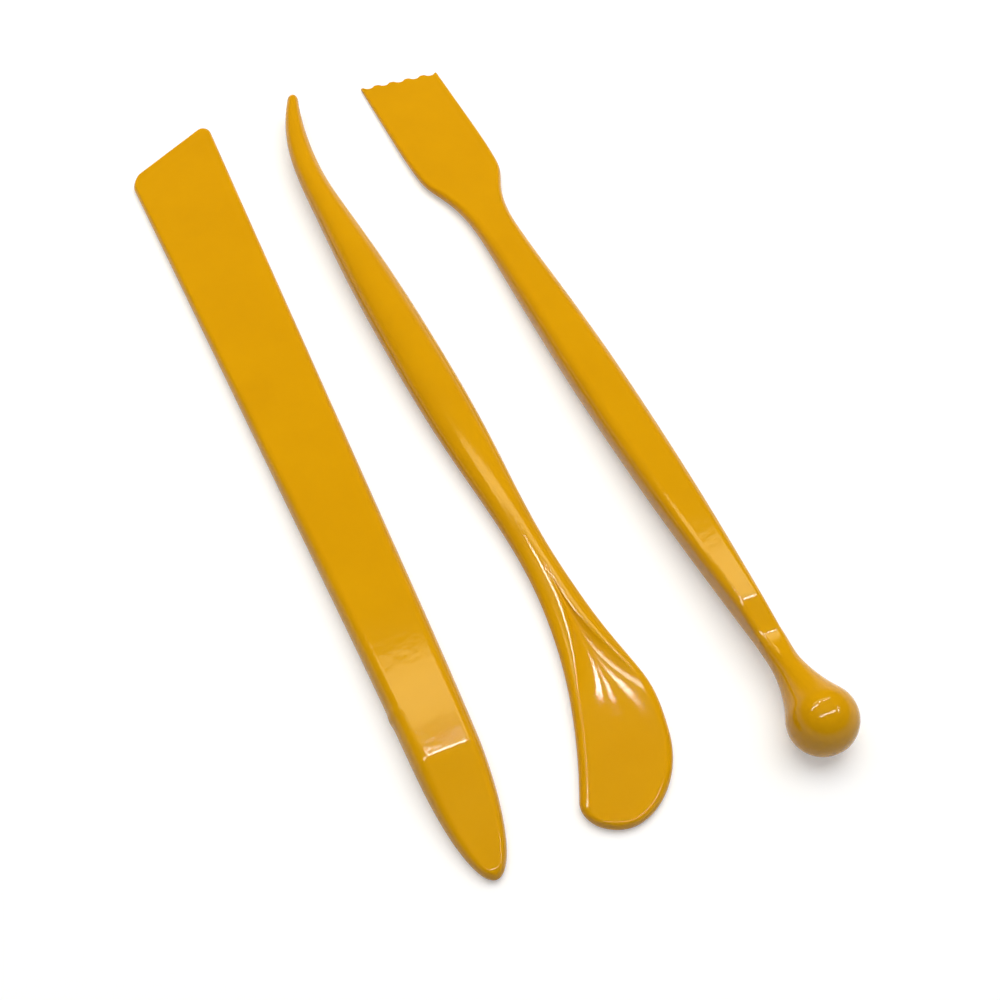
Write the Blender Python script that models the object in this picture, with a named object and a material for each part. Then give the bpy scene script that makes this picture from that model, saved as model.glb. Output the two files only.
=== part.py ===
"""A set of three one-piece moulded hand tools, lying side by side on a table.

The skew knife is a long flat wedge, the hooked pick runs out into a dished paddle, and the
toothed scraper ends in a ball. Each tool is a loft of changing sections along its spine. It is
made in a frame of its own, in millimetres, with +Y along the tool from its near end and +X to
its right, and it is then laid down so that it rests on the table at z = 0.
"""

import math
from typing import NamedTuple

import bmesh
import bpy
import numpy as np

MM = 0.001

# The set: gaps between the tools, how far each near end lies behind the knife's, and turns
SET_NAME = "modelling_tool_set"
KNIFE_TO_PICK_GAP = 4.55
PICK_TO_SCRAPER_GAP = 9.7
PICK_SET_BACK = 0.7
SCRAPER_SET_BACK = 3.4
PICK_TURN = math.radians(2.1)
SCRAPER_TURN = math.radians(0.1)

# Skew knife: a round nose at the near end, a slanted thin edge at the far end. The side round
# is a share of the thickness, and a higher nose power makes a blunter nose.
KNIFE_LENGTH = 167.0
KNIFE_WIDE_WIDTH = 18.5
KNIFE_NARROW_WIDTH = 10.4
KNIFE_SIDE_ROUND = 0.4
KNIFE_NOSE_LENGTH = 22.0
KNIFE_NOSE_POWER = 2.5
KNIFE_LEAN = 0.7
KNIFE_LEAN_RUN = 44.0
KNIFE_NOSE_THICKNESS = 2.2
KNIFE_NOSE_EDGE = 1.2
KNIFE_CREASE_AT = 17.9
KNIFE_CREASE_BLEND = 0.8
KNIFE_CREASE_THICKNESS = 5.2
KNIFE_EDGE_THICKNESS = 1.2
KNIFE_SKEW = math.radians(31)
KNIFE_SKEW_RUN = 30.0
KNIFE_CORNER_RADIUS = 3.0

# Hooked pick: the paddle is at the near end, and the tables pair a share of the length with a size
PICK_LENGTH = 164.1
HOOK_START = 0.804
HOOK_REACH = 5.6
HOOK_POWER = 2.4
HOOK_TIP_RADIUS = 1.4
SHAFT_HALF_WIDTHS = (
    (0.29, 2.6), (0.43, 3.8), (0.57, 4.25), (0.71, 3.7), (0.85, 2.45), (0.90, 2.2),
    (0.95, 1.7), (1.0, 0.9),
)
PICK_HALF_HEIGHTS = (
    (0.0, 1.0), (0.10, 1.2), (0.20, 1.4), (0.29, 1.8), (0.43, 2.4), (0.60, 3.0), (0.72, 2.8),
    (0.85, 2.05), (1.0, 0.9),
)
PADDLE_START = 0.257
PADDLE_SWEEP = 8.3
PADDLE_POWER = 2.3
PADDLE_LEAN = 1.5
PADDLE_LEFT_ROUND = 4.0
PADDLE_RIGHT_ROUND = 12.3
PADDLE_LEFT = ((0.0, 6.9), (0.09, 5.45), (0.15, 4.35), (0.22, 3.2), (0.255, 2.75))
PADDLE_RIGHT = (
    (0.0, 7.2), (0.09, 7.6), (0.12, 7.1), (0.15, 5.6), (0.185, 4.0), (0.22, 3.1), (0.255, 2.7),
)
PADDLE_END_EDGE = 0.8
PADDLE_RIM = 1.4
PADDLE_DISH = 0.5
PADDLE_DISH_AT = 0.12
PADDLE_DISH_END = 0.255

# Toothed scraper: the ball is at the near end and the teeth at the far end. The flares are the
# hollow radii by which the ball runs out into the neck, at its sides and on its top.
SCRAPER_LENGTH = 168.4
BALL_DIAMETER = 10.2
BALL_SIDE_FLARE = 20.0
BALL_TOP_FLARE = 33.0
NECK_RADIUS = 2.0
NECK_ROUND_TO = 0.08
NECK_END = 0.12
HANDLE_START = 0.152
BLADE_START = 0.66
SCRAPER_HALF_WIDTHS = (
    (0.152, 2.2), (0.22, 3.0), (0.31, 3.8), (0.40, 4.2), (0.46, 4.3), (0.54, 4.15),
    (0.62, 3.9), (0.68, 3.7), (0.71, 3.75), (0.74, 4.25), (0.775, 5.85), (0.80, 7.4),
    (0.82, 7.85), (0.90, 8.1), (1.0, 8.0),
)
SCRAPER_HALF_HEIGHTS = (
    (0.152, 2.6), (0.40, 2.7), (0.56, 2.5), (0.70, 1.5), (0.80, 0.85), (0.90, 0.6), (1.0, 0.4),
)
SCRAPER_EDGE_SHARE = 0.5
BLADE_SKEW = math.radians(4.0)
SHOULDER_END = 0.76
TOOTH_COUNT = 6
TOOTH_DEPTH = 0.65
TOOTH_LAND = 1.0

# How finely the lofts are cut: points round a section, and rings along a tool
CORNER_STEPS = 5
DISH_POINTS = 3
FULLEST_ROUND = 0.95
LARGE_END_RINGS = 13
SMALL_END_RINGS = 6
FIRST_RING = 0.03
CREASE_RINGS = 5
LONG_SPACING = 9.0
CURVED_SPACING = 4.5
FINE_SPACING = 1.6
SCALLOP_SIDES = 32
REST_STEPS = 20
SMOOTH_ANGLE = math.radians(35)

PLASTIC_COLOUR = (0.72, 0.342, 0.001, 1.0)
PLASTIC_ROUGHNESS = 0.22


class Section(NamedTuple):
    """A cross-section: a box with elliptical corners, whose top may be dished."""

    left: float
    right: float
    top: float
    bottom: float
    side_round: float
    top_round: float
    bottom_round: float
    dish: float = 0.0


def clear_scene():
    for obj in list(bpy.data.objects):
        bpy.data.objects.remove(obj, do_unlink=True)


def spline(table, at):
    """A natural cubic through the table's (place, size) pairs, held level past its ends."""
    place, size = (np.array(column) for column in zip(*table))
    gap = np.diff(place)
    rows = np.eye(len(place))
    bends = np.zeros(len(place))
    for i in range(1, len(place) - 1):
        rows[i, i - 1 : i + 2] = gap[i - 1], 2 * (gap[i - 1] + gap[i]), gap[i]
        bends[i] = 6 * ((size[i + 1] - size[i]) / gap[i] - (size[i] - size[i - 1]) / gap[i - 1])
    curve = np.linalg.solve(rows, bends)
    at = min(max(at, place[0]), place[-1])
    i = min(int(np.searchsorted(place, at, side="right")), len(place) - 1) - 1
    past = at - place[i]
    left = place[i + 1] - at
    return (
        (curve[i] * left**3 + curve[i + 1] * past**3) / (6 * gap[i])
        + (size[i] / gap[i] - curve[i] * gap[i] / 6) * left
        + (size[i + 1] / gap[i] - curve[i + 1] * gap[i] / 6) * past
    )


def ease(share):
    """A smooth step from 0 to 1 as share goes from 0 to 1."""
    share = min(max(share, 0.0), 1.0)
    return share * share * (3 - 2 * share)


def bent_ramp(past, blend):
    """A ramp that is 0 before the bend and rises as past after it, rounded within blend of it."""
    if past <= -blend:
        return 0.0
    if past >= blend:
        return past
    return (past + blend) ** 2 / (4 * blend)


def round_end(distance, radius):
    """The quarter circle from 0 at an end to 1 at radius from it, and 1 beyond."""
    short = max(0.0, 1 - distance / radius)
    return math.sqrt(1 - short * short)


def end_stations(length, rings):
    """Distances from an end, close together at first as a quarter circle needs them."""
    angles = np.linspace(math.acos(1 - FIRST_RING), math.pi / 2, rings)
    return length * (1 - np.cos(angles))


def stretch(start, end, spacing):
    """Evenly spaced stations from start to end, no further apart than spacing."""
    return np.linspace(start, end, math.ceil((end - start) / spacing) + 1)


def ring(section):
    """The points (across, up) round a section: over its top from the right, then underneath."""
    middle = (section.right - section.left) / 2
    half = (section.right + section.left) / 2
    tallest = (section.top - section.bottom) / 2 * FULLEST_ROUND
    reach = min(section.side_round, half * FULLEST_ROUND)
    upper = min(section.top_round, tallest)
    lower = min(section.bottom_round, tallest)
    flat = half - reach
    quarter = np.linspace(0, math.pi / 2, CORNER_STEPS + 1)
    across = reach * np.cos(quarter)
    over = section.top - upper + upper * np.sin(quarter)
    under = section.bottom + lower - lower * np.sin(quarter)
    inside = np.linspace(1, -1, DISH_POINTS + 2)[1:-1]
    points = [
        np.stack([flat + across, over], 1),
        np.stack([flat * inside, section.top - section.dish * (1 - inside**2)], 1),
        np.stack([-flat - across, over], 1)[::-1],
        np.stack([-flat - across, under], 1),
        np.stack([flat + across, under], 1)[::-1],
    ]
    return np.concatenate(points) + (middle, 0)


def placed_ring(section, centre, heading, slant=0.0):
    """A section's ring in space, square to the heading, or slanted forward on its right."""
    flat = ring(section)
    forward = flat[:, 0] * slant
    x = centre[0] + flat[:, 0] * math.cos(heading) + forward * math.sin(heading)
    y = centre[1] - flat[:, 0] * math.sin(heading) + forward * math.cos(heading)
    return np.stack([x, y, flat[:, 1]], 1)


def loft(name, rings):
    """A closed mesh through the rings, in metres."""
    around = len(rings[0])
    faces = [tuple(range(around)), tuple(range(around * (len(rings) - 1), around * len(rings)))]
    for first in range(0, around * (len(rings) - 1), around):
        for j in range(around):
            k = (j + 1) % around
            faces.append((first + j, first + k, first + around + k, first + around + j))
    mesh = bpy.data.meshes.new(name)
    mesh.from_pydata((np.concatenate(rings) * MM).tolist(), [], faces)
    shape = bmesh.new()
    shape.from_mesh(mesh)
    bmesh.ops.recalc_face_normals(shape, faces=shape.faces)
    shape.to_mesh(mesh)
    shape.free()
    mesh.shade_smooth()
    mesh.set_sharp_from_angle(angle=SMOOTH_ANGLE)
    return mesh


def knife_half_width(at):
    """Half the knife's width: a straight taper, closed by the round nose."""
    narrow = KNIFE_NARROW_WIDTH / 2
    taper = (KNIFE_WIDE_WIDTH / 2 - narrow) / (KNIFE_LENGTH - KNIFE_NOSE_LENGTH)
    into_nose = min(max(0.0, 1 - at / KNIFE_NOSE_LENGTH), 1.0)
    straight = narrow + taper * (at - KNIFE_NOSE_LENGTH)
    return straight * math.sqrt(1 - into_nose**KNIFE_NOSE_POWER)


def knife_top(at):
    """The height of the knife's top: two slopes that meet in a slightly rounded crease."""
    rise = (KNIFE_CREASE_THICKNESS - KNIFE_NOSE_THICKNESS) / KNIFE_CREASE_AT
    fall = (KNIFE_CREASE_THICKNESS - KNIFE_EDGE_THICKNESS) / (KNIFE_LENGTH - KNIFE_CREASE_AT)
    turn_down = bent_ramp(at - KNIFE_CREASE_AT, KNIFE_CREASE_BLEND)
    return KNIFE_NOSE_THICKNESS + rise * at - (rise + fall) * turn_down


def knife_section(at, to_end, slant):
    """The knife's section at a station that lies to_end short of the far end."""
    lead = knife_half_width(at) * slant
    corner = KNIFE_CORNER_RADIUS * (1 - round_end(to_end, KNIFE_CORNER_RADIUS))
    middle = knife_top(at) / 2
    half = middle * min(round_end(at, KNIFE_NOSE_EDGE), round_end(to_end, KNIFE_EDGE_THICKNESS / 2))
    return Section(
        left=knife_half_width(at - lead) - corner,
        right=knife_half_width(at + lead) - corner,
        top=middle + half,
        bottom=middle - half,
        side_round=KNIFE_SIDE_ROUND * knife_top(at),
        top_round=half,
        bottom_round=half,
    )


def knife_rings():
    last = KNIFE_LENGTH - KNIFE_WIDE_WIDTH / 2 * math.tan(KNIFE_SKEW)
    crease = KNIFE_CREASE_AT + KNIFE_CREASE_BLEND * np.linspace(-1, 1, CREASE_RINGS)
    stations = np.concatenate([
        end_stations(KNIFE_NOSE_LENGTH, LARGE_END_RINGS),
        crease,
        stretch(KNIFE_NOSE_LENGTH, last - KNIFE_CORNER_RADIUS, LONG_SPACING),
        last - end_stations(KNIFE_CORNER_RADIUS, SMALL_END_RINGS),
    ])
    rings = []
    for at in np.unique(stations):
        slant = math.tan(KNIFE_SKEW) * ease(1 - (last - at) / KNIFE_SKEW_RUN)
        lean = -KNIFE_LEAN * max(0.0, 1 - at / KNIFE_LEAN_RUN) ** 2
        rings.append(placed_ring(knife_section(at, last - at, slant), (lean, at), 0, slant))
    return rings


def pick_spine(at):
    """The pick's spine across and along, and its heading: straight, but bent at both ends."""
    share = at / PICK_LENGTH
    hook = max(0.0, (share - HOOK_START) / (1 - HOOK_START))
    sweep = max(0.0, (PADDLE_START - share) / PADDLE_START)
    across = HOOK_REACH * hook**HOOK_POWER - PADDLE_SWEEP * sweep**PADDLE_POWER
    hook_slope = HOOK_REACH * HOOK_POWER * hook ** (HOOK_POWER - 1) / (1 - HOOK_START)
    sweep_slope = PADDLE_SWEEP * PADDLE_POWER * sweep ** (PADDLE_POWER - 1) / PADDLE_START
    return (across, at), math.atan((hook_slope + sweep_slope) / PICK_LENGTH)


def pick_section(at):
    share = at / PICK_LENGTH
    to_tip = round_end(PICK_LENGTH - at, HOOK_TIP_RADIUS)
    left = spline(PADDLE_LEFT + SHAFT_HALF_WIDTHS, share) - PADDLE_LEAN
    right = spline(PADDLE_RIGHT + SHAFT_HALF_WIDTHS, share) + PADDLE_LEAN
    left = (PADDLE_LEAN + left * round_end(at, PADDLE_LEFT_ROUND)) * to_tip
    right = (right * round_end(at, PADDLE_RIGHT_ROUND) - PADDLE_LEAN) * to_tip
    closing = min(round_end(at, PADDLE_END_EDGE), to_tip)
    half = spline(PICK_HALF_HEIGHTS, share) * closing
    widest = (left + right) / 2
    in_paddle = 1 - ease((share - PADDLE_DISH_AT) / (PADDLE_DISH_END - PADDLE_DISH_AT))
    return Section(
        left=left,
        right=right,
        top=half,
        bottom=-half,
        side_round=widest + (PADDLE_RIM - widest) * in_paddle,
        top_round=half,
        bottom_round=half,
        dish=PADDLE_DISH * (share / PADDLE_DISH_AT) ** 2 * in_paddle * closing,
    )


def pick_rings():
    hook = PICK_LENGTH * HOOK_START
    stations = np.concatenate([
        end_stations(PADDLE_RIGHT_ROUND, LARGE_END_RINGS),
        stretch(PADDLE_RIGHT_ROUND, hook, CURVED_SPACING),
        stretch(hook, PICK_LENGTH - HOOK_TIP_RADIUS, CURVED_SPACING),
        PICK_LENGTH - end_stations(HOOK_TIP_RADIUS, SMALL_END_RINGS),
    ])
    return [placed_ring(pick_section(at), *pick_spine(at)) for at in np.unique(stations)]


def ball_end_radius(at, flare):
    """The radius of the round near end: the ball, then a hollow flare that runs out into the neck."""
    ball = BALL_DIAMETER / 2
    flare_out = NECK_RADIUS + flare
    flare_at = math.sqrt((ball + flare) ** 2 - flare_out**2)
    past = at - ball
    if past < flare_at * ball / (ball + flare):
        return math.sqrt(ball**2 - past**2)
    if past < flare_at:
        return flare_out - math.sqrt(flare**2 - (flare_at - past) ** 2)
    return NECK_RADIUS


def scraper_section(at):
    share = at / SCRAPER_LENGTH
    flat = min(max(0.0, (share - NECK_END) / (HANDLE_START - NECK_END)), 1.0)
    wide = spline(SCRAPER_HALF_WIDTHS, share)
    tall = spline(SCRAPER_HALF_HEIGHTS, share)
    neck_half = ball_end_radius(at, BALL_SIDE_FLARE)
    neck_height = ball_end_radius(at, BALL_TOP_FLARE)
    half = neck_half + (wide - neck_half) * flat
    height = neck_height + (tall - neck_height) * flat
    squared = ease((share - NECK_ROUND_TO) / (NECK_END - NECK_ROUND_TO))
    corner = min(SCRAPER_EDGE_SHARE * half, height)
    return Section(
        left=half,
        right=half,
        top=height,
        bottom=-height,
        side_round=half + (corner - half) * squared,
        top_round=height + (corner - height) * squared,
        bottom_round=height,
    )


def scraper_rings():
    ball = BALL_DIAMETER / 2
    neck, handle, blade = (SCRAPER_LENGTH * share for share in (NECK_END, HANDLE_START, BLADE_START))
    stations = np.concatenate([
        end_stations(ball, SMALL_END_RINGS),
        stretch(ball, neck, FINE_SPACING),
        stretch(handle, blade, LONG_SPACING),
        stretch(blade, SCRAPER_LENGTH, 2 * FINE_SPACING),
    ])
    rings = []
    for at in np.unique(stations):
        in_blade = (at / SCRAPER_LENGTH - BLADE_START) / (SHOULDER_END - BLADE_START)
        slant = -math.tan(BLADE_SKEW) * ease(in_blade)
        rings.append(placed_ring(scraper_section(at), (0, at), 0, slant))
    return rings


def cut_teeth(scraper, cutters):
    """Scallops along the blade's end, which leave the teeth between them."""
    half = spline(SCRAPER_HALF_WIDTHS, 1.0)
    pitch = 2 * half / (TOOTH_COUNT - 1)
    chord = pitch - TOOTH_LAND
    radius = (chord**2 / 4 + TOOTH_DEPTH**2) / (2 * TOOTH_DEPTH)
    thickness = 2 * spline(SCRAPER_HALF_HEIGHTS, 1.0)
    for i in range(TOOTH_COUNT - 1):
        across = pitch * (i + 0.5) - half
        edge = SCRAPER_LENGTH - across * math.tan(BLADE_SKEW)
        place = (across, edge - TOOTH_DEPTH + radius, 0)
        bpy.ops.mesh.primitive_cylinder_add(
            vertices=SCALLOP_SIDES, radius=radius * MM, depth=2 * thickness * MM
        )
        cutter = bpy.context.object
        cutter.name = f"scallop_cutter_{i + 1}"
        bpy.context.collection.objects.unlink(cutter)
        cutters.objects.link(cutter)
        cutter.parent = scraper
        cutter.location = [MM * side for side in place]
        cutter.hide_render = True
        cutter.display_type = "WIRE"
        cut = scraper.modifiers.new(f"scallop_{i + 1}", "BOOLEAN")
        cut.operation = "DIFFERENCE"
        cut.object = cutter


def balance(rings):
    """How far along a tool its weight balances, from the area of each ring."""
    places = np.array([points[:, 1].mean() for points in rings])
    areas = []
    for points in rings:
        x, z = points[:, 0], points[:, 2]
        areas.append(abs(x @ np.roll(z, -1) - z @ np.roll(x, -1)) / 2)
    weights = np.array(areas) * np.gradient(places)
    return weights @ places / weights.sum()


def rest_tilt(points, middle):
    """The turn about +X that lays a tool down on the places either side of its middle."""
    behind = points[points[:, 1] < middle]
    ahead = points[points[:, 1] > middle]
    tilt = 0.0
    for _ in range(REST_STEPS):
        down = (0, math.sin(tilt), math.cos(tilt))
        back = behind[np.argmin(behind @ down)]
        front = ahead[np.argmin(ahead @ down)]
        tilt = -math.atan2(front[2] - back[2], front[1] - back[1])
    return tilt


def turned(points, tilt, turn):
    """Points turned by tilt about X, and then by turn about Z."""
    x = points[:, 0]
    y = points[:, 1] * math.cos(tilt) - points[:, 2] * math.sin(tilt)
    z = points[:, 1] * math.sin(tilt) + points[:, 2] * math.cos(tilt)
    return np.stack(
        [x * math.cos(turn) - y * math.sin(turn), x * math.sin(turn) + y * math.cos(turn), z], 1
    )


def plastic(name):
    material = bpy.data.materials.new(name)
    material.use_nodes = True
    shader = material.node_tree.nodes["Principled BSDF"]
    shader.inputs["Base Color"].default_value = PLASTIC_COLOUR
    shader.inputs["Roughness"].default_value = PLASTIC_ROUGHNESS
    shader.inputs["Metallic"].default_value = 0.0
    return material


def new_collection(name):
    collection = bpy.data.collections.new(name)
    bpy.context.scene.collection.children.link(collection)
    return collection


def build():
    clear_scene()
    tools = new_collection(SET_NAME)
    cutters = new_collection("cutters")
    layout = (
        ("skew_knife", knife_rings(), 0.0, 0.0, 0.0),
        ("hooked_pick", pick_rings(), KNIFE_TO_PICK_GAP, PICK_SET_BACK, PICK_TURN),
        ("toothed_scraper", scraper_rings(), PICK_TO_SCRAPER_GAP, SCRAPER_SET_BACK, SCRAPER_TURN),
    )
    right = 0.0
    boxes = []
    for name, rings, gap, set_back, turn in layout:
        points = np.concatenate(rings)
        tilt = rest_tilt(points, balance(rings))
        laid = turned(points, tilt, turn)
        low, high = laid.min(axis=0), laid.max(axis=0)
        place = np.array([right + gap - low[0], -set_back - low[1], -low[2]])
        right += gap + high[0] - low[0]
        boxes.append([low + place, high + place])
        obj = bpy.data.objects.new(name, loft(name, rings))
        obj.data.materials.append(plastic(f"{name}_plastic"))
        obj.rotation_euler = (tilt, 0, turn)
        obj.location = place * MM
        tools.objects.link(obj)
    low = np.min([box[0] for box in boxes], axis=0)
    high = np.max([box[1] for box in boxes], axis=0)
    centre = bpy.data.objects.new("set_centre", None)
    centre.location = (-(low[0] + high[0]) / 2 * MM, -(low[1] + high[1]) / 2 * MM, 0)
    tools.objects.link(centre)
    for obj in list(tools.objects):
        if obj is not centre:
            obj.parent = centre
    cut_teeth(bpy.data.objects["toothed_scraper"], cutters)


build()
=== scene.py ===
"""Looks for the set of three moulded hand tools: the skew knife, the hooked pick and the scraper.

Each tool is lofted again with far more sections than its CAD solid has, in millimetres in a
frame of its own: +Y runs along the tool from its near end, and +X to its right. It is then laid
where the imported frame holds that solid, and it replaces and rides with it.
"""

import math
from typing import NamedTuple

import bmesh
import bpy
import numpy as np
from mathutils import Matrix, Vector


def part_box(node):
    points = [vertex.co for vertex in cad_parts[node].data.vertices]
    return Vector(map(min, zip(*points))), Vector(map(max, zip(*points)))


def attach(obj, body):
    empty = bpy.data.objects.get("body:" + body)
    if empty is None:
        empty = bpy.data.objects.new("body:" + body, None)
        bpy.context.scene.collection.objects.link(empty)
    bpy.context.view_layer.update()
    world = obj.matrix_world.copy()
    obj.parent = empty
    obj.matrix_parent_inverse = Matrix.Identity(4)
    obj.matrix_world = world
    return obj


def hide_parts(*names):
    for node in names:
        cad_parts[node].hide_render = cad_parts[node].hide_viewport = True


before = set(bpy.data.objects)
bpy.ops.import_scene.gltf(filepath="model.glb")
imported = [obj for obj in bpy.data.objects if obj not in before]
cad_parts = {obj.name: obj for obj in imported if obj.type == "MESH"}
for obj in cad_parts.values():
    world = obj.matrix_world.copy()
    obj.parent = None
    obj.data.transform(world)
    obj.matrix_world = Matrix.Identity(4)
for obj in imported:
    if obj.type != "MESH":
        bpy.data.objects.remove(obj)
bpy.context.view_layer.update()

MM = 0.001

# How the pick and the scraper are turned on the table
PICK_TURN = math.radians(2.1)
SCRAPER_TURN = math.radians(0.1)

# Skew knife: a round nose at the near end, a slanted thin edge at the far end. The side round
# is a share of the thickness, and a higher nose power makes a blunter nose.
KNIFE_LENGTH = 167.0
KNIFE_WIDE_WIDTH = 18.5
KNIFE_NARROW_WIDTH = 10.4
KNIFE_SIDE_ROUND = 0.4
KNIFE_NOSE_LENGTH = 22.0
KNIFE_NOSE_POWER = 2.5
KNIFE_LEAN = 0.7
KNIFE_LEAN_RUN = 44.0
KNIFE_NOSE_THICKNESS = 2.2
KNIFE_NOSE_EDGE = 1.2
KNIFE_CREASE_AT = 17.9
KNIFE_CREASE_BLEND = 0.8
KNIFE_CREASE_THICKNESS = 5.2
KNIFE_EDGE_THICKNESS = 1.2
KNIFE_SKEW = math.radians(31)
KNIFE_SKEW_RUN = 30.0
KNIFE_CORNER_RADIUS = 3.0

# The gate mark where the knife was cut from its sprue, on its left side
GATE_AT = 27.0
GATE_LENGTH = 3.0
GATE_PROUD = 0.15

# Hooked pick: the paddle is at the near end, and the tables pair a share of the length with a size
PICK_LENGTH = 164.1
HOOK_START = 0.804
HOOK_REACH = 5.6
HOOK_POWER = 2.4
HOOK_TIP_RADIUS = 1.4
SHAFT_HALF_WIDTHS = (
    (0.29, 2.6), (0.43, 3.8), (0.57, 4.25), (0.71, 3.7), (0.85, 2.45), (0.90, 2.2),
    (0.95, 1.7), (1.0, 0.9),
)
PICK_HALF_HEIGHTS = (
    (0.0, 1.0), (0.10, 1.2), (0.20, 1.4), (0.29, 1.8), (0.43, 2.4), (0.60, 3.0), (0.72, 2.8),
    (0.85, 2.05), (1.0, 0.9),
)
PADDLE_START = 0.257
PADDLE_SWEEP = 8.3
PADDLE_POWER = 2.3
PADDLE_LEAN = 1.5
PADDLE_LEFT_ROUND = 4.0
PADDLE_RIGHT_ROUND = 12.3
PADDLE_LEFT = ((0.0, 6.9), (0.09, 5.45), (0.15, 4.35), (0.22, 3.2), (0.255, 2.75))
PADDLE_RIGHT = (
    (0.0, 7.2), (0.09, 7.6), (0.12, 7.1), (0.15, 5.6), (0.185, 4.0), (0.22, 3.1), (0.255, 2.7),
)
PADDLE_END_EDGE = 0.8
PADDLE_RIM = 1.4
PADDLE_DISH = 0.5
PADDLE_DISH_AT = 0.12
PADDLE_DISH_END = 0.255

# Toothed scraper: the ball is at the near end and the teeth at the far end. The flares are the
# hollow radii by which the ball runs out into the neck, at its sides and on its top.
SCRAPER_LENGTH = 168.4
BALL_DIAMETER = 10.2
BALL_SIDE_FLARE = 20.0
BALL_TOP_FLARE = 33.0
NECK_RADIUS = 2.0
NECK_ROUND_TO = 0.08
NECK_END = 0.12
HANDLE_START = 0.152
SCRAPER_HALF_WIDTHS = (
    (0.152, 2.2), (0.22, 3.0), (0.31, 3.8), (0.40, 4.2), (0.46, 4.3), (0.54, 4.15),
    (0.62, 3.9), (0.68, 3.7), (0.71, 3.75), (0.74, 4.25), (0.775, 5.85), (0.80, 7.4),
    (0.82, 7.85), (0.90, 8.1), (1.0, 8.0),
)
SCRAPER_HALF_HEIGHTS = (
    (0.152, 2.6), (0.40, 2.7), (0.56, 2.5), (0.70, 1.5), (0.80, 0.85), (0.90, 0.6), (1.0, 0.4),
)
SCRAPER_EDGE_SHARE = 0.5
BLADE_START = 0.66
BLADE_SKEW = math.radians(4.0)
SHOULDER_END = 0.76
SCRAPER_CREASE_BLEND = 0.6
SCRAPER_END_EDGE = 0.3
TOOTH_COUNT = 6
TOOTH_DEPTH = 0.65
TOOTH_LAND = 1.0
TOOTH_RUN = 4.0

# How finely the lofts are cut: points round a section, and rings along a tool
CORNER_STEPS = 10
FLAT_POINTS = 61
FULLEST_ROUND = 0.95
END_RINGS = 24
FIRST_RING = 0.004
RING_SPACING = 1.0
FINE_SPACING = 0.15
REST_STEPS = 20
CLOSEST_RINGS = 0.001

# The thin raised line where the two halves of the mould met
PARTING_RIDGE = 0.02

# Plastic. Each noise is a scale and a detail, and each tool's noise is shifted by its own offset
# so that no two are clouded alike. The drag marks run along the tools.
YELLOW = (0.72, 0.352, 0.001, 1.0)
DEEP_YELLOW = (0.69, 0.332, 0.001, 1.0)
PLASTIC_IOR = 1.49
PLASTIC_SPECULAR = 0.25
CLOUD_NOISE = (90, 3)
CLOUD_STOPS = (0.3, 0.7)
GLOSS_NOISE = (260, 4)
ROUGHNESS_RANGE = (0.05, 0.10)
DRAG_NOISE = (3500, 2)
DRAG_STRETCH = (1.0, 0.03, 1.0)
DRAG_STRENGTH = 0.05
PEEL_NOISE = (700, 3)
PEEL_STRENGTH = 0.6
BUMP_DEPTH = 0.00002
KNIFE_NOISE_OFFSET = (0, 0, 0)
PICK_NOISE_OFFSET = (0.3, 0.1, 0.2)
SCRAPER_NOISE_OFFSET = (0.7, 0.4, 0.1)

# Camera
CAMERA_PLACE = (-0.0571, -0.1569, 0.18736)
CAMERA_DOWN = math.radians(52)
CAMERA_HEADING = math.radians(23.4)
CAMERA_LENS = 54.0
CAMERA_SENSOR = 36.0
CAMERA_NEAREST = 0.01

# Studio. Each highlight lamp has a place over the table, a size and a radiance, and is there for
# one highlight: the bar low on the ball, that bar's right end, the knife's crease, the hollow of
# the paddle, the two creases of the scraper, and the left flanks and rims.
STRIP_HEIGHT = 0.40
HIGHLIGHT_LAMPS = (
    ("front_strip", (0.04, -0.165), (0.38, 0.03), 26),
    ("front_end_strip", (0.30, -0.15), (0.03, 0.14), 26),
    ("knife_strip", (0.048, 0.150), (0.04, 0.028), 45),
    ("paddle_strip", (0.142, 0.161), (0.022, 0.006), 80),
    ("scraper_strip", (0.206, 0.159), (0.04, 0.010), 90),
    ("left_window", (-0.135, 0.115), (0.25, 0.045), 22),
)
PANEL_PLACE = (0.10, 0.203, STRIP_HEIGHT)
PANEL_SIZE = (0.44, 0.040)
PANEL_RADIANCE = 8.5
PANEL_TINT = (1.0, 0.8, 0.35)
FILL_PLACE = (0.25, 0.15, 1.2)
FILL_SIZE = (1.6, 1.0)
FILL_RADIANCE = 3.4
SURROUNDINGS = 0.08
FLOOR_SIZE = 6.0
FLOOR_WHITE = 0.7
FLOOR_ROUGHNESS = 0.9
FLOOR_GLOW = 0.38
FLOOR_FADE = (0.12, 0.8)
HORIZON_FADE = (0.0, 0.45)


class Section(NamedTuple):
    """A cross-section: a box with elliptical corners, whose top may be dished."""

    left: float
    right: float
    top: float
    bottom: float
    side_round: float
    top_round: float
    bottom_round: float
    dish: float = 0.0


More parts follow.
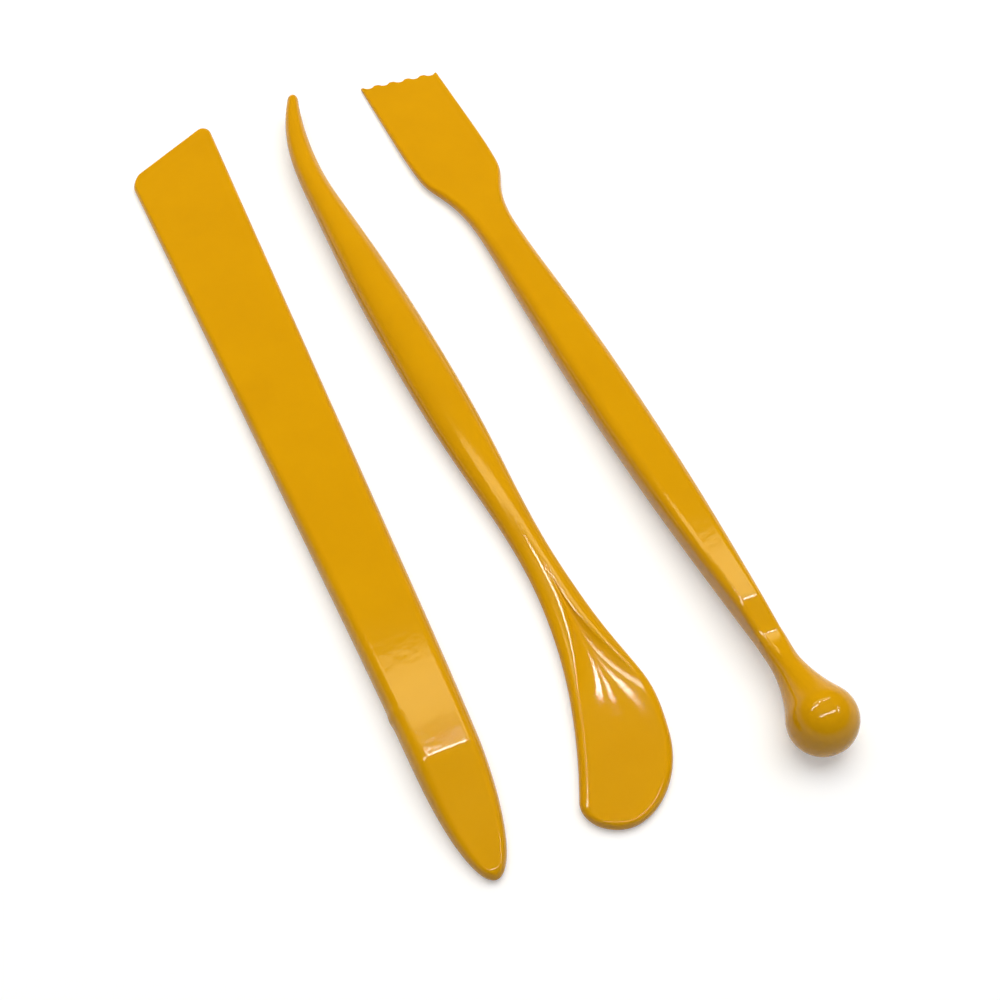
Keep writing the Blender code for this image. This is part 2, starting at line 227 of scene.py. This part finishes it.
def spline(table, at):
    """A natural cubic through the table's (place, size) pairs, held level past its ends."""
    place, size = (np.array(column) for column in zip(*table))
    gap = np.diff(place)
    rows = np.eye(len(place))
    bends = np.zeros(len(place))
    for i in range(1, len(place) - 1):
        rows[i, i - 1 : i + 2] = gap[i - 1], 2 * (gap[i - 1] + gap[i]), gap[i]
        bends[i] = 6 * ((size[i + 1] - size[i]) / gap[i] - (size[i] - size[i - 1]) / gap[i - 1])
    curve = np.linalg.solve(rows, bends)
    at = min(max(at, place[0]), place[-1])
    i = min(int(np.searchsorted(place, at, side="right")), len(place) - 1) - 1
    past = at - place[i]
    left = place[i + 1] - at
    return (
        (curve[i] * left**3 + curve[i + 1] * past**3) / (6 * gap[i])
        + (size[i] / gap[i] - curve[i] * gap[i] / 6) * left
        + (size[i + 1] / gap[i] - curve[i + 1] * gap[i] / 6) * past
    )


def ease(share):
    """A smooth step from 0 to 1 as share goes from 0 to 1."""
    share = min(max(share, 0.0), 1.0)
    return share * share * (3 - 2 * share)


def bent_ramp(past, blend):
    """A ramp that is 0 before the bend and rises as past after it, rounded within blend of it."""
    if past <= -blend:
        return 0.0
    if past >= blend:
        return past
    return (past + blend) ** 2 / (4 * blend)


def round_end(distance, radius):
    """The quarter circle from 0 at an end to 1 at radius from it, and 1 beyond."""
    short = max(0.0, 1 - distance / radius)
    return math.sqrt(1 - short * short)


def end_stations(length):
    """Distances from an end, close together at first as a quarter circle needs them."""
    angles = np.linspace(math.acos(1 - FIRST_RING), math.pi / 2, END_RINGS)
    return length * (1 - np.cos(angles))


def stretch(start, end, spacing):
    """Evenly spaced stations from start to end, no further apart than spacing."""
    return np.linspace(start, end, math.ceil((end - start) / spacing) + 1)


def merged(*runs):
    """The stations of all runs in order, without those that crowd the one before."""
    stations = np.unique(np.concatenate(runs))
    return stations[np.diff(stations, prepend=-1.0) > CLOSEST_RINGS]


def ring(section):
    """The points (across, up) round a section: over its top from the right, then underneath."""
    middle = (section.right - section.left) / 2
    half = (section.right + section.left) / 2
    tallest = (section.top - section.bottom) / 2 * FULLEST_ROUND
    reach = min(section.side_round, half * FULLEST_ROUND)
    upper = min(section.top_round, tallest)
    lower = min(section.bottom_round, tallest)
    flat = half - reach
    quarter = np.linspace(0, math.pi / 2, CORNER_STEPS + 1)
    across = flat + reach * np.cos(quarter)
    over = section.top - upper + upper * np.sin(quarter)
    under = section.bottom + lower - lower * np.sin(quarter)
    inside = np.linspace(1, -1, FLAT_POINTS + 2)[1:-1]
    dished = section.top - section.dish * (1 - inside**2)
    parting = (over[0] + under[0]) / 2
    ridge = half + min(PARTING_RIDGE, reach)
    points = [
        np.stack([across, over], 1),
        np.stack([flat * inside, dished], 1),
        np.stack([-across, over], 1)[::-1],
        np.array([[-ridge, parting]]),
        np.stack([-across, under], 1),
        np.stack([-flat * inside, np.full(FLAT_POINTS, section.bottom)], 1),
        np.stack([across, under], 1)[::-1],
        np.array([[ridge, parting]]),
    ]
    return np.concatenate(points) + (middle, 0)


def placed_ring(section, centre, heading, slant=0.0):
    """A section's ring in space, square to the heading, or slanted forward on its right."""
    flat = ring(section)
    forward = flat[:, 0] * slant
    x = centre[0] + flat[:, 0] * math.cos(heading) + forward * math.sin(heading)
    y = centre[1] - flat[:, 0] * math.sin(heading) + forward * math.cos(heading)
    return np.stack([x, y, flat[:, 1]], 1)


def cap(first, around):
    """Faces that close a ring from its first point on: each joins its top to its underside."""
    top = around // 2 - 1
    left, right = first + top, first + around - 1
    faces = [(right, first, right - 1), (left - 1, left, left + 1)]
    for i in range(top - 1):
        faces.append((first + i, first + i + 1, right - i - 2, right - i - 1))
    return faces


def loft(name, points, around):
    """A closed smooth mesh through rings of points, with so many points around each."""
    count = len(points) // around
    faces = cap(0, around) + cap(around * (count - 1), around)
    for first in range(0, around * (count - 1), around):
        for j in range(around):
            k = (j + 1) % around
            faces.append((first + j, first + k, first + around + k, first + around + j))
    mesh = bpy.data.meshes.new(name)
    mesh.from_pydata(points.tolist(), [], faces)
    shape = bmesh.new()
    shape.from_mesh(mesh)
    bmesh.ops.recalc_face_normals(shape, faces=shape.faces)
    shape.to_mesh(mesh)
    shape.free()
    mesh.shade_smooth()
    return mesh


def knife_half_width(at):
    """Half the knife's width: a straight taper, closed by the round nose."""
    narrow = KNIFE_NARROW_WIDTH / 2
    taper = (KNIFE_WIDE_WIDTH / 2 - narrow) / (KNIFE_LENGTH - KNIFE_NOSE_LENGTH)
    into_nose = min(max(0.0, 1 - at / KNIFE_NOSE_LENGTH), 1.0)
    straight = narrow + taper * (at - KNIFE_NOSE_LENGTH)
    return straight * math.sqrt(1 - into_nose**KNIFE_NOSE_POWER)


def knife_top(at):
    """The height of the knife's top: two slopes that meet in a slightly rounded crease."""
    rise = (KNIFE_CREASE_THICKNESS - KNIFE_NOSE_THICKNESS) / KNIFE_CREASE_AT
    fall = (KNIFE_CREASE_THICKNESS - KNIFE_EDGE_THICKNESS) / (KNIFE_LENGTH - KNIFE_CREASE_AT)
    turn_down = bent_ramp(at - KNIFE_CREASE_AT, KNIFE_CREASE_BLEND)
    return KNIFE_NOSE_THICKNESS + rise * at - (rise + fall) * turn_down


def knife_section(at, to_end, slant):
    """The knife's section at a station that lies to_end short of the far end."""
    lead = knife_half_width(at) * slant
    corner = KNIFE_CORNER_RADIUS * (1 - round_end(to_end, KNIFE_CORNER_RADIUS))
    middle = knife_top(at) / 2
    half = middle * min(round_end(at, KNIFE_NOSE_EDGE), round_end(to_end, KNIFE_EDGE_THICKNESS / 2))
    gate = GATE_PROUD * (1 - ease(abs(at - GATE_AT) * 2 / GATE_LENGTH))
    return Section(
        left=knife_half_width(at - lead) - corner + gate,
        right=knife_half_width(at + lead) - corner,
        top=middle + half,
        bottom=middle - half,
        side_round=KNIFE_SIDE_ROUND * knife_top(at),
        top_round=half,
        bottom_round=half,
    )


def knife_rings():
    last = KNIFE_LENGTH - KNIFE_WIDE_WIDTH / 2 * math.tan(KNIFE_SKEW)
    crease = 2 * KNIFE_CREASE_BLEND
    gate = GATE_LENGTH / 2
    stations = merged(
        end_stations(KNIFE_NOSE_LENGTH),
        end_stations(KNIFE_NOSE_EDGE),
        stretch(KNIFE_CREASE_AT - crease, KNIFE_CREASE_AT + crease, FINE_SPACING),
        stretch(GATE_AT - gate, GATE_AT + gate, FINE_SPACING),
        stretch(KNIFE_NOSE_LENGTH, last - KNIFE_CORNER_RADIUS, RING_SPACING),
        last - end_stations(KNIFE_CORNER_RADIUS),
    )
    rings = []
    for at in stations:
        slant = math.tan(KNIFE_SKEW) * ease(1 - (last - at) / KNIFE_SKEW_RUN)
        lean = -KNIFE_LEAN * max(0.0, 1 - at / KNIFE_LEAN_RUN) ** 2
        rings.append(placed_ring(knife_section(at, last - at, slant), (lean, at), 0, slant))
    return rings


def pick_spine(at):
    """The pick's spine across and along, and its heading: straight, but bent at both ends."""
    share = at / PICK_LENGTH
    hook = max(0.0, (share - HOOK_START) / (1 - HOOK_START))
    sweep = max(0.0, (PADDLE_START - share) / PADDLE_START)
    across = HOOK_REACH * hook**HOOK_POWER - PADDLE_SWEEP * sweep**PADDLE_POWER
    hook_slope = HOOK_REACH * HOOK_POWER * hook ** (HOOK_POWER - 1) / (1 - HOOK_START)
    sweep_slope = PADDLE_SWEEP * PADDLE_POWER * sweep ** (PADDLE_POWER - 1) / PADDLE_START
    return (across, at), math.atan((hook_slope + sweep_slope) / PICK_LENGTH)


def pick_section(at):
    share = at / PICK_LENGTH
    to_tip = round_end(PICK_LENGTH - at, HOOK_TIP_RADIUS)
    left = spline(PADDLE_LEFT + SHAFT_HALF_WIDTHS, share) - PADDLE_LEAN
    right = spline(PADDLE_RIGHT + SHAFT_HALF_WIDTHS, share) + PADDLE_LEAN
    left = (PADDLE_LEAN + left * round_end(at, PADDLE_LEFT_ROUND)) * to_tip
    right = (right * round_end(at, PADDLE_RIGHT_ROUND) - PADDLE_LEAN) * to_tip
    closing = min(round_end(at, PADDLE_END_EDGE), to_tip)
    half = spline(PICK_HALF_HEIGHTS, share) * closing
    widest = (left + right) / 2
    in_paddle = 1 - ease((share - PADDLE_DISH_AT) / (PADDLE_DISH_END - PADDLE_DISH_AT))
    return Section(
        left=left,
        right=right,
        top=half,
        bottom=-half,
        side_round=widest + (PADDLE_RIM - widest) * in_paddle,
        top_round=half,
        bottom_round=half,
        dish=PADDLE_DISH * (share / PADDLE_DISH_AT) ** 2 * in_paddle * closing,
    )


def pick_rings():
    stations = merged(
        end_stations(PADDLE_RIGHT_ROUND),
        end_stations(PADDLE_END_EDGE),
        stretch(PADDLE_RIGHT_ROUND, PICK_LENGTH - HOOK_TIP_RADIUS, RING_SPACING),
        PICK_LENGTH - end_stations(HOOK_TIP_RADIUS),
    )
    return [placed_ring(pick_section(at), *pick_spine(at)) for at in stations]


def ball_end_radius(at, flare):
    """The radius of the round near end: the ball, then a hollow flare that runs out into the neck."""
    ball = BALL_DIAMETER / 2
    flare_out = NECK_RADIUS + flare
    flare_at = math.sqrt((ball + flare) ** 2 - flare_out**2)
    past = at - ball
    if past < flare_at * ball / (ball + flare):
        return math.sqrt(ball**2 - past**2)
    if past < flare_at:
        return flare_out - math.sqrt(flare**2 - (flare_at - past) ** 2)
    return NECK_RADIUS


def scraper_section(at):
    share = at / SCRAPER_LENGTH
    start, end = NECK_END * SCRAPER_LENGTH, HANDLE_START * SCRAPER_LENGTH
    rise = bent_ramp(at - start, SCRAPER_CREASE_BLEND) - bent_ramp(at - end, SCRAPER_CREASE_BLEND)
    flat = rise / (end - start)
    wide = spline(SCRAPER_HALF_WIDTHS, share)
    tall = spline(SCRAPER_HALF_HEIGHTS, share)
    neck_half = ball_end_radius(at, BALL_SIDE_FLARE)
    neck_height = ball_end_radius(at, BALL_TOP_FLARE)
    half = neck_half + (wide - neck_half) * flat
    height = neck_height + (tall - neck_height) * flat
    closing = round_end(SCRAPER_LENGTH - at, SCRAPER_END_EDGE)
    squared = ease((share - NECK_ROUND_TO) / (NECK_END - NECK_ROUND_TO))
    corner = min(SCRAPER_EDGE_SHARE * half, height)
    return Section(
        left=half,
        right=half,
        top=height * closing,
        bottom=-height * closing,
        side_round=half + (corner - half) * squared,
        top_round=height + (corner - height) * squared,
        bottom_round=height,
    )


def scallops(across):
    """How deep the blade's end is scalloped at each place across it."""
    half = spline(SCRAPER_HALF_WIDTHS, 1.0)
    pitch = 2 * half / (TOOTH_COUNT - 1)
    chord = pitch - TOOTH_LAND
    radius = (chord**2 / 4 + TOOTH_DEPTH**2) / (2 * TOOTH_DEPTH)
    middles = pitch * (np.arange(TOOTH_COUNT - 1) + 0.5) - half
    aside = np.abs(across[:, None] - middles).min(axis=1)
    arc = np.sqrt(np.maximum(radius**2 - aside**2, 0)) - (radius - TOOTH_DEPTH)
    return np.maximum(arc, 0)


def scraper_rings():
    ball = BALL_DIAMETER / 2
    creases = [SCRAPER_LENGTH * share for share in (NECK_END, HANDLE_START)]
    crease = 2 * SCRAPER_CREASE_BLEND
    stations = merged(
        end_stations(ball),
        stretch(ball, creases[0] - crease, RING_SPACING / 2),
        stretch(creases[0] - crease, creases[1] + crease, FINE_SPACING),
        stretch(creases[1] + crease, SCRAPER_LENGTH - TOOTH_RUN, RING_SPACING),
        stretch(SCRAPER_LENGTH - TOOTH_RUN, SCRAPER_LENGTH - SCRAPER_END_EDGE, RING_SPACING / 4),
        SCRAPER_LENGTH - end_stations(SCRAPER_END_EDGE),
    )
    rings = []
    for at in stations:
        in_blade = (at / SCRAPER_LENGTH - BLADE_START) / (SHOULDER_END - BLADE_START)
        slant = -math.tan(BLADE_SKEW) * ease(in_blade)
        points = placed_ring(scraper_section(at), (0, at), 0, slant)
        near_end = ease(1 - (SCRAPER_LENGTH - at) / TOOTH_RUN)
        points[:, 1] -= scallops(points[:, 0]) * near_end
        rings.append(points)
    return rings


def balance(rings):
    """How far along a tool its weight balances, from the area of each ring."""
    places = np.array([points[:, 1].mean() for points in rings])
    areas = []
    for points in rings:
        x, z = points[:, 0], points[:, 2]
        areas.append(abs(x @ np.roll(z, -1) - z @ np.roll(x, -1)) / 2)
    weights = np.array(areas) * np.gradient(places)
    return weights @ places / weights.sum()


def rest_tilt(points, middle):
    """The turn about +X that lays a tool down on the places either side of its middle."""
    behind = points[points[:, 1] < middle]
    ahead = points[points[:, 1] > middle]
    tilt = 0.0
    for _ in range(REST_STEPS):
        down = (0, math.sin(tilt), math.cos(tilt))
        back = behind[np.argmin(behind @ down)]
        front = ahead[np.argmin(ahead @ down)]
        tilt = -math.atan2(front[2] - back[2], front[1] - back[1])
    return tilt


def turned(points, tilt, turn):
    """Points turned by tilt about X, and then by turn about Z."""
    x = points[:, 0]
    y = points[:, 1] * math.cos(tilt) - points[:, 2] * math.sin(tilt)
    z = points[:, 1] * math.sin(tilt) + points[:, 2] * math.cos(tilt)
    return np.stack(
        [x * math.cos(turn) - y * math.sin(turn), x * math.sin(turn) + y * math.cos(turn), z], 1
    )


def moulded_plastic(name, offset):
    """Glossy moulded plastic: faint clouding, uneven gloss, orange peel and fine drag marks."""
    material = bpy.data.materials.new(name)
    material.use_nodes = True
    nodes, links = material.node_tree.nodes, material.node_tree.links
    shader = nodes["Principled BSDF"]
    shader.inputs["IOR"].default_value = PLASTIC_IOR
    shader.inputs["Specular IOR Level"].default_value = PLASTIC_SPECULAR

    place = nodes.new("ShaderNodeTexCoord")
    shift = nodes.new("ShaderNodeMapping")
    shift.inputs["Location"].default_value = offset
    links.new(place.outputs["Object"], shift.inputs["Vector"])

    def noise(scale, detail, vector=shift):
        texture = nodes.new("ShaderNodeTexNoise")
        texture.inputs["Scale"].default_value = scale
        texture.inputs["Detail"].default_value = detail
        links.new(vector.outputs["Vector"], texture.inputs["Vector"])
        return texture.outputs["Fac"]

    def bump(height, strength):
        relief = nodes.new("ShaderNodeBump")
        relief.inputs["Strength"].default_value = strength
        relief.inputs["Distance"].default_value = BUMP_DEPTH
        links.new(height, relief.inputs["Height"])
        return relief

    cloud = nodes.new("ShaderNodeValToRGB")
    stops = cloud.color_ramp.elements
    for stop, position, color in zip(stops, CLOUD_STOPS, (DEEP_YELLOW, YELLOW)):
        stop.position = position
        stop.color = color
    links.new(noise(*CLOUD_NOISE), cloud.inputs["Fac"])
    links.new(cloud.outputs["Color"], shader.inputs["Base Color"])

    gloss = nodes.new("ShaderNodeMapRange")
    gloss.inputs["To Min"].default_value, gloss.inputs["To Max"].default_value = ROUGHNESS_RANGE
    links.new(noise(*GLOSS_NOISE), gloss.inputs["Value"])
    links.new(gloss.outputs["Result"], shader.inputs["Roughness"])

    drag = nodes.new("ShaderNodeMapping")
    drag.inputs["Scale"].default_value = DRAG_STRETCH
    links.new(shift.outputs["Vector"], drag.inputs["Vector"])
    marks = bump(noise(*DRAG_NOISE, drag), DRAG_STRENGTH)
    peel = bump(noise(*PEEL_NOISE), PEEL_STRENGTH)
    links.new(marks.outputs["Normal"], peel.inputs["Normal"])
    links.new(peel.outputs["Normal"], shader.inputs["Normal"])
    return material


def lay_tool(node, body, slot, rings, turn, offset):
    """Makes a tool, lays it where its CAD node lies, and lets it stand for that node."""
    points = np.concatenate(rings)
    tilt = rest_tilt(points, balance(rings))
    laid = turned(points, tilt, turn) * MM
    low, high = (np.array(corner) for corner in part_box(node))
    place = (low + high - laid.min(axis=0) - laid.max(axis=0)) / 2
    place[2] = low[2] - laid[:, 2].min()
    tool = bpy.data.objects.new(f"{node}_moulded", loft(node, laid + place, len(rings[0])))
    bpy.context.scene.collection.objects.link(tool)
    tool.data.materials.append(moulded_plastic(slot, offset))
    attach(tool, body)
    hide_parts(node)


def seen_directly(nodes, links):
    """A socket that is 1 for what the camera sees, also by mirroring or through glass."""
    path = nodes.new("ShaderNodeLightPath")
    seen = path.outputs["Is Camera Ray"]
    for ray in ("Is Glossy Ray", "Is Transmission Ray"):
        either = nodes.new("ShaderNodeMath")
        either.operation = "MAXIMUM"
        links.new(seen, either.inputs[0])
        links.new(path.outputs[ray], either.inputs[1])
        seen = either.outputs["Value"]
    return seen


def fade(nodes, links, value, places, levels):
    """A socket that goes from the first level to the second between two places of a value."""
    change = nodes.new("ShaderNodeMapRange")
    change.interpolation_type = "SMOOTHSTEP"
    change.inputs["From Min"].default_value, change.inputs["From Max"].default_value = places
    change.inputs["To Min"].default_value, change.inputs["To Max"].default_value = levels
    links.new(value, change.inputs["Value"])
    return change.outputs["Result"]


def times(nodes, links, first, second):
    """A socket that is the product of two others."""
    product = nodes.new("ShaderNodeMath")
    product.operation = "MULTIPLY"
    links.new(first, product.inputs[0])
    links.new(second, product.inputs[1])
    return product.outputs["Value"]


def make_floor():
    """A white table top that keeps the shadows.

    A glow that lights nothing lifts it to white, and grows with distance, where the lamps light
    it less.
    """
    bpy.ops.mesh.primitive_plane_add(size=FLOOR_SIZE)
    floor = bpy.context.object
    floor.name = "table_top"
    material = bpy.data.materials.new("white_table")
    material.use_nodes = True
    nodes, links = material.node_tree.nodes, material.node_tree.links
    shader = nodes["Principled BSDF"]
    shader.inputs["Base Color"].default_value = (FLOOR_WHITE, FLOOR_WHITE, FLOOR_WHITE, 1)
    shader.inputs["Roughness"].default_value = FLOOR_ROUGHNESS
    shader.inputs["Specular IOR Level"].default_value = 0.0
    shader.inputs["Emission Color"].default_value = (1, 1, 1, 1)
    place = nodes.new("ShaderNodeTexCoord")
    distance = nodes.new("ShaderNodeVectorMath")
    distance.operation = "LENGTH"
    links.new(place.outputs["Object"], distance.inputs[0])
    glow = fade(nodes, links, distance.outputs["Value"], FLOOR_FADE, (FLOOR_GLOW, 1.0))
    glow = times(nodes, links, glow, seen_directly(nodes, links))
    links.new(glow, shader.inputs["Emission Strength"])
    floor.data.materials.append(material)


def hang_light(name, place, size, radiance, tint=(1, 1, 1), lights=True, mirrored=True):
    """A flat lamp that faces down, as bright as radiance all over.

    Without lights it shows only as a highlight in the gloss, and without mirrored it only lights.
    """
    lamp = bpy.data.lights.new(name, "AREA")
    lamp.shape = "RECTANGLE"
    lamp.size, lamp.size_y = size
    lamp.energy = radiance * math.pi * size[0] * size[1]
    lamp.color = tint
    obj = bpy.data.objects.new(name, lamp)
    obj.location = place
    obj.visible_diffuse = lights
    obj.visible_glossy = mirrored
    bpy.context.scene.collection.objects.link(obj)


def make_world():
    """Dim surroundings, whose horizon looks white but lights nothing."""
    world = bpy.data.worlds.new("studio")
    world.use_nodes = True
    nodes, links = world.node_tree.nodes, world.node_tree.links
    place = nodes.new("ShaderNodeTexCoord")
    split = nodes.new("ShaderNodeSeparateXYZ")
    links.new(place.outputs["Generated"], split.inputs["Vector"])
    white = fade(nodes, links, split.outputs["Z"], HORIZON_FADE, (1.0, 0.0))
    white = times(nodes, links, white, seen_directly(nodes, links))
    level = fade(nodes, links, white, (0.0, 1.0), (SURROUNDINGS, 1.0))
    links.new(level, nodes["Background"].inputs["Color"])
    bpy.context.scene.world = world


def make_camera():
    data = bpy.data.cameras.new("photo_camera")
    data.lens = CAMERA_LENS
    data.sensor_width = CAMERA_SENSOR
    data.clip_start = CAMERA_NEAREST
    camera = bpy.data.objects.new("photo_camera", data)
    camera.location = CAMERA_PLACE
    camera.rotation_euler = (math.pi / 2 - CAMERA_DOWN, 0, -CAMERA_HEADING)
    bpy.context.scene.collection.objects.link(camera)
    bpy.context.scene.camera = camera


make_camera()
make_floor()
make_world()
for lamp_name, (lamp_x, lamp_y), lamp_size, lamp_radiance in HIGHLIGHT_LAMPS:
    hang_light(lamp_name, (lamp_x, lamp_y, STRIP_HEIGHT), lamp_size, lamp_radiance, lights=False)
hang_light("back_panel", PANEL_PLACE, PANEL_SIZE, PANEL_RADIANCE, PANEL_TINT)
hang_light("soft_fill", FILL_PLACE, FILL_SIZE, FILL_RADIANCE, mirrored=False)

lay_tool("skew_knife", "knife", "knife_plastic", knife_rings(), 0.0, KNIFE_NOISE_OFFSET)
lay_tool("hooked_pick", "pick", "pick_plastic", pick_rings(), PICK_TURN, PICK_NOISE_OFFSET)
lay_tool(
    "toothed_scraper", "scraper", "scraper_plastic", scraper_rings(), SCRAPER_TURN, SCRAPER_NOISE_OFFSET
)

bpy.context.scene.view_settings.view_transform = "Standard"
